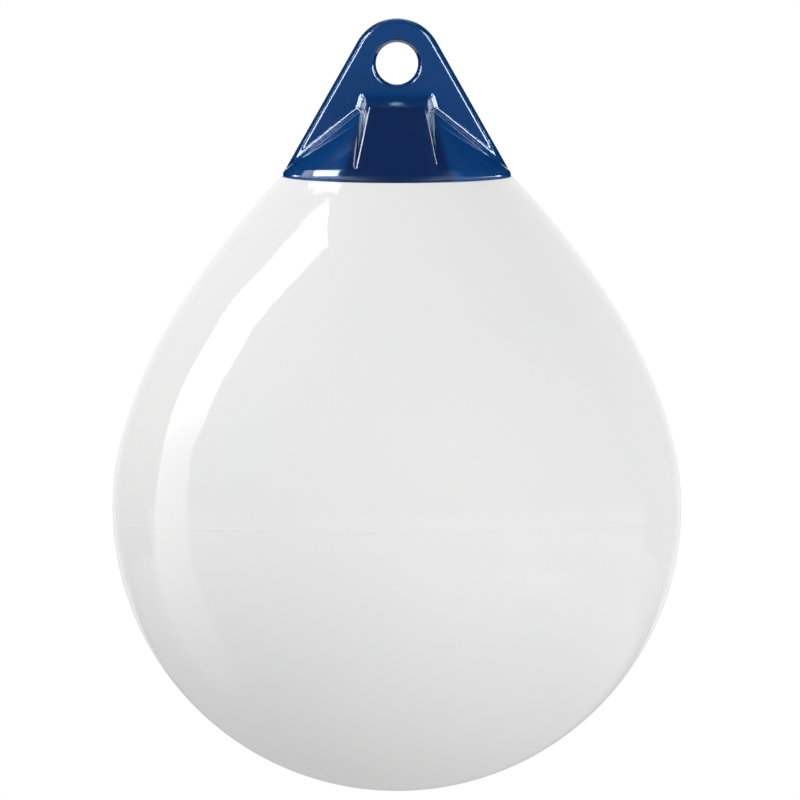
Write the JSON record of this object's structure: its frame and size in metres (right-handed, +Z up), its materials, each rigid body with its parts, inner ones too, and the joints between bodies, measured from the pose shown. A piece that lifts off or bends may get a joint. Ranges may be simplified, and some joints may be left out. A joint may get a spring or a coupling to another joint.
{
  "type": "ball fender",
  "caption": "Inflatable drop-shaped ball fender in glossy vinyl, with a moulded cap that carries a rope eye and an air valve.",
  "frame": {"origin": "centre of the rope eye, on the cap's middle plane", "axes": "+Z up along the ball's axis, from the ball to the eye; the eye's bore along Y; front of the cap towards -Y, air valve at the back, towards +Y"},
  "size_m": [0.28, 0.28, 0.3806],
  "materials": {
    "white_vinyl": "glossy, faintly wavy moulded vinyl",
    "blue_vinyl": "glossy moulded vinyl, coloured through",
    "valve_plastic": "satin moulded plastic",
    "valve_rubber": "matt soft rubber",
    "plug_plastic": "satin moulded nylon"
  },
  "bodies": {
    "root": {"ball": "white_vinyl", "rope_cap": "blue_vinyl", "valve_body": "valve_plastic", "valve_flap": "valve_rubber", "valve_plug": "plug_plastic", "plug_seal": "valve_rubber"}
  },
  "joints": []
}
